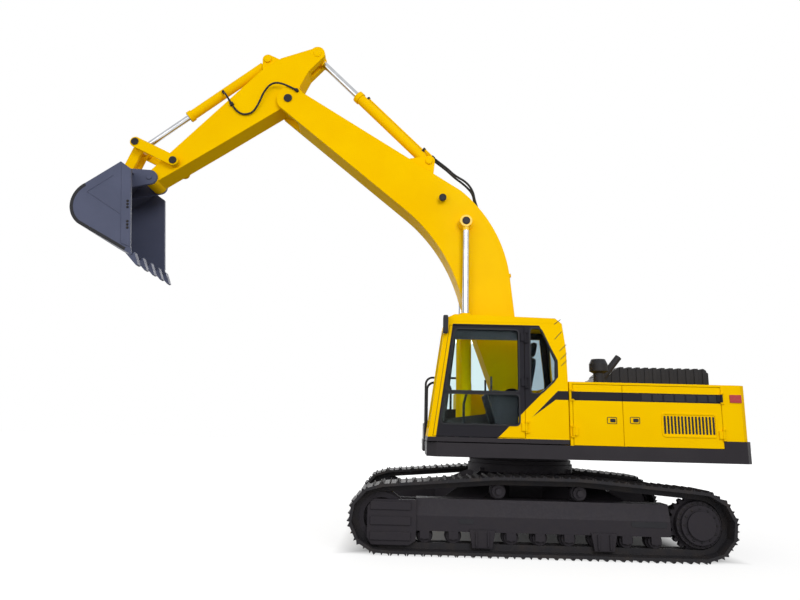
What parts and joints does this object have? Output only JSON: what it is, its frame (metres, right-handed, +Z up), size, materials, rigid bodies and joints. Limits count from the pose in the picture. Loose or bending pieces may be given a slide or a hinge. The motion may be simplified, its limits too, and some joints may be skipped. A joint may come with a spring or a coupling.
{
  "type": "crawler excavator",
  "caption": "Crawler excavator with a slewing house, cab, raised boom, arm and bucket on a pair of steel tracks.",
  "frame": {"origin": "on the ground under the slewing axis", "axes": "+X to the machine's front, +Y to its left (the cab's side), +Z up"},
  "size_m": [10.0613, 3.19, 7.908],
  "materials": {
    "dark_steel": "charcoal paint, satin, dusty",
    "track_steel": "worn dark steel",
    "dark_paint": "charcoal paint, semi gloss",
    "yellow_paint": "glossy yellow enamel",
    "bucket_paint": "blue-grey paint, satin",
    "engine_iron": "painted iron",
    "black_plastic": "moulded, matte",
    "black_tube": "black paint",
    "chrome_rod": "hard chrome, polished",
    "cab_glass": "tinted safety glass",
    "seat_cloth": "woven cloth",
    "lamp_red": "clear red lens"
  },
  "bodies": {
    "undercarriage": {"carbody": "dark_steel", "slewing_ring_lower": "dark_steel", "track_frames": "dark_steel", "track_left": "track_steel", "track_right": "track_steel", "sprockets": "dark_steel", "idlers": "dark_steel", "bottom_rollers": "dark_steel", "carrier_rollers": "dark_steel", "tow_lugs": "dark_steel"},
    "house": {"slewing_ring_upper": "dark_steel", "main_frame": "dark_paint", "boom_brackets": "dark_paint", "counterweight": "yellow_paint", "counterweight_bumper": "dark_paint", "deck_covers": "yellow_paint", "engine_block": "engine_iron", "tanks": "yellow_paint", "tool_box": "dark_paint", "handrails": "black_tube", "pre_cleaner": "black_plastic", "exhaust_pipe": "black_tube", "tail_lamps": "lamp_red", "cab_floor": "dark_paint", "cab_left_frame": "yellow_paint", "cab_right_wall": "yellow_paint", "cab_front_frame": "yellow_paint", "cab_rear_wall": "yellow_paint", "cab_roof": "yellow_paint", "cab_glass": "cab_glass", "seat": "seat_cloth", "consoles": "black_plastic"},
    "cab_door": {"cab_door": "dark_paint", "door_glass": "cab_glass"},
    "engine_hood": {"engine_hood": "black_plastic"},
    "side_door_left_front": {"side_door_left_front": "yellow_paint"},
    "side_door_left_rear": {"side_door_left_rear": "yellow_paint"},
    "side_door_right": {"side_door_right": "yellow_paint"},
    "boom": {"boom": "yellow_paint"},
    "arm": {"arm": "yellow_paint"},
    "bucket": {"bucket": "bucket_paint", "bucket_teeth": "bucket_paint"},
    "rockers": {"rockers": "yellow_paint"},
    "bucket_link": {"bucket_link": "yellow_paint"},
    "boom_cylinder_barrels": {"boom_cylinder_barrel": "yellow_paint"},
    "boom_cylinder_rods": {"boom_cylinder_rod": "chrome_rod"},
    "arm_cylinder_barrel": {"arm_cylinder_barrel": "yellow_paint"},
    "arm_cylinder_rod": {"arm_cylinder_rod": "chrome_rod"},
    "bucket_cylinder_barrel": {"bucket_cylinder_barrel": "yellow_paint"},
    "bucket_cylinder_rod": {"bucket_cylinder_rod": "chrome_rod"}
  },
  "joints": [
    {"name": "swing", "type": "hinge", "parent": "undercarriage", "child": "house", "pos_m": [0, 0, 1.136], "axis": [0, 0, 1], "continuous": true},
    {"name": "boom", "type": "hinge", "parent": "house", "child": "boom", "pos_m": [0.15, 0, 2], "axis": [0, 1, 0], "range_deg": [-10, 95]},
    {"name": "boom_cylinder_tilt", "type": "hinge", "parent": "house", "child": "boom_cylinder_barrels", "pos_m": [0.85, 0, 1.42], "axis": [0, 1, 0], "range_deg": [-12, 96]},
    {"name": "boom_cylinder_stroke", "type": "slide", "parent": "boom_cylinder_barrels", "child": "boom_cylinder_rods", "axis": [0.0001, 0, 1], "range_m": [-1.34, 0.15]},
    {"name": "arm", "type": "hinge", "parent": "boom", "child": "arm", "pos_m": [3.8108, 0, 6.8882], "axis": [0, -1, 0], "range_deg": [-65, 30]},
    {"name": "arm_cylinder_tilt", "type": "hinge", "parent": "boom", "child": "arm_cylinder_barrel", "pos_m": [1.4379, 0, 5.8767], "axis": [0, -1, 0], "range_deg": [-12, 6]},
    {"name": "arm_cylinder_stroke", "type": "slide", "parent": "arm_cylinder_barrel", "child": "arm_cylinder_rod", "axis": [0.7125, 0, 0.7016], "range_m": [-0.42, 0.89]},
    {"name": "bucket", "type": "hinge", "parent": "arm", "child": "bucket", "pos_m": [5.9918, 0, 5.4582], "axis": [0, 1, 0], "range_deg": [-95, 80]},
    {"name": "rockers", "type": "hinge", "parent": "arm", "child": "rockers", "pos_m": [5.6158, 0, 5.7346], "axis": [0, 1, 0], "range_deg": [-69, 58]},
    {"name": "bucket_link", "type": "hinge", "parent": "rockers", "child": "bucket_link", "pos_m": [6.2702, 0, 6.047], "axis": [0, 1, 0], "range_deg": [-32, 38]},
    {"name": "bucket_cylinder_tilt", "type": "hinge", "parent": "arm", "child": "bucket_cylinder_barrel", "pos_m": [4.2326, 0, 7.6938], "axis": [0, 1, 0], "range_deg": [-6, 5]},
    {"name": "bucket_cylinder_stroke", "type": "slide", "parent": "bucket_cylinder_barrel", "child": "bucket_cylinder_rod", "axis": [0.7777, 0, -0.6286], "range_m": [-0.66, 0.56]},
    {"name": "cab_door", "type": "hinge", "parent": "house", "child": "cab_door", "pos_m": [0.158, 1.472, 2.2], "axis": [0, 0, 1], "range_deg": [0, 160]},
    {"name": "engine_hood", "type": "hinge", "parent": "house", "child": "engine_hood", "pos_m": [-1.85, -0.605, 2.233], "axis": [1, 0, 0], "range_deg": [0, 65]},
    {"name": "side_door_left_front", "type": "hinge", "parent": "house", "child": "side_door_left_front", "pos_m": [-0.459, 1.458, 1.8], "axis": [0, 0, 1], "range_deg": [-100, 0]},
    {"name": "side_door_left_rear", "type": "hinge", "parent": "house", "child": "side_door_left_rear", "pos_m": [-2.397, 1.458, 1.8], "axis": [0, 0, -1], "range_deg": [-100, 0]},
    {"name": "side_door_right", "type": "hinge", "parent": "house", "child": "side_door_right", "pos_m": [-2.397, -1.458, 1.8], "axis": [0, 0, 1], "range_deg": [-100, 0]}
  ],
  "couplings": [
    {"joint": "boom_cylinder_tilt", "follows": "boom", "ratio": 0.9877},
    {"joint": "boom_cylinder_stroke", "follows": "boom", "m_per_rad": -0.80517},
    {"joint": "arm_cylinder_tilt", "follows": "arm", "ratio": 0.1712},
    {"joint": "arm_cylinder_stroke", "follows": "arm", "m_per_rad": -0.77779},
    {"joint": "rockers", "follows": "bucket", "ratio": 0.72},
    {"joint": "bucket_link", "follows": "bucket", "ratio": -0.39},
    {"joint": "bucket_cylinder_tilt", "follows": "bucket", "ratio": 0.0572},
    {"joint": "bucket_cylinder_stroke", "follows": "bucket", "m_per_rad": 0.3947}
  ]
}
